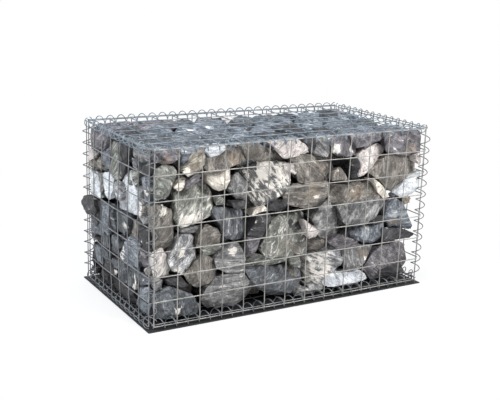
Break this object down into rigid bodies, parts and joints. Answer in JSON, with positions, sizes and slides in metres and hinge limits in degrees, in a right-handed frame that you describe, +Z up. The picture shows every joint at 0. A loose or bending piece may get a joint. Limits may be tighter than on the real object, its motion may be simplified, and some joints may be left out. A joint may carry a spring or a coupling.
{
  "type": "stone-filled gabion basket",
  "caption": "Free-standing welded wire basket laced with helical wire coils and filled with angular quarry stone, on a thin base board.",
  "frame": {"origin": "centre of the base board's underside, on the floor", "axes": "+X along the basket's length to the viewer's right, +Y from front to back, +Z up"},
  "size_m": [1.028, 0.55, 0.5613],
  "materials": {
    "mesh_wire": "galvanised welded steel wire",
    "coil_wire": "galvanised steel lacing wire",
    "board": "dark resin-faced board",
    "quarry_stone": "rough broken quarry stone with pale veins"
  },
  "bodies": {
    "root": {"back_left_coil": "coil_wire", "back_mesh_panel": "mesh_wire", "back_right_coil": "coil_wire", "back_stones": "quarry_stone", "base_board": "board", "bottom_back_coil": "coil_wire", "bottom_front_coil": "coil_wire", "bottom_left_coil": "coil_wire", "bottom_right_coil": "coil_wire", "core_stones": "quarry_stone", "front_left_coil": "coil_wire", "front_mesh_panel": "mesh_wire", "front_right_coil": "coil_wire", "front_stones": "quarry_stone", "left_end_stones": "quarry_stone", "left_mesh_panel": "mesh_wire", "mesh_base": "mesh_wire", "mesh_lid": "mesh_wire", "right_end_stones": "quarry_stone", "right_mesh_panel": "mesh_wire", "top_back_coil": "coil_wire", "top_front_coil": "coil_wire", "top_left_coil": "coil_wire", "top_right_coil": "coil_wire", "top_stones": "quarry_stone"}
  },
  "joints": []
}
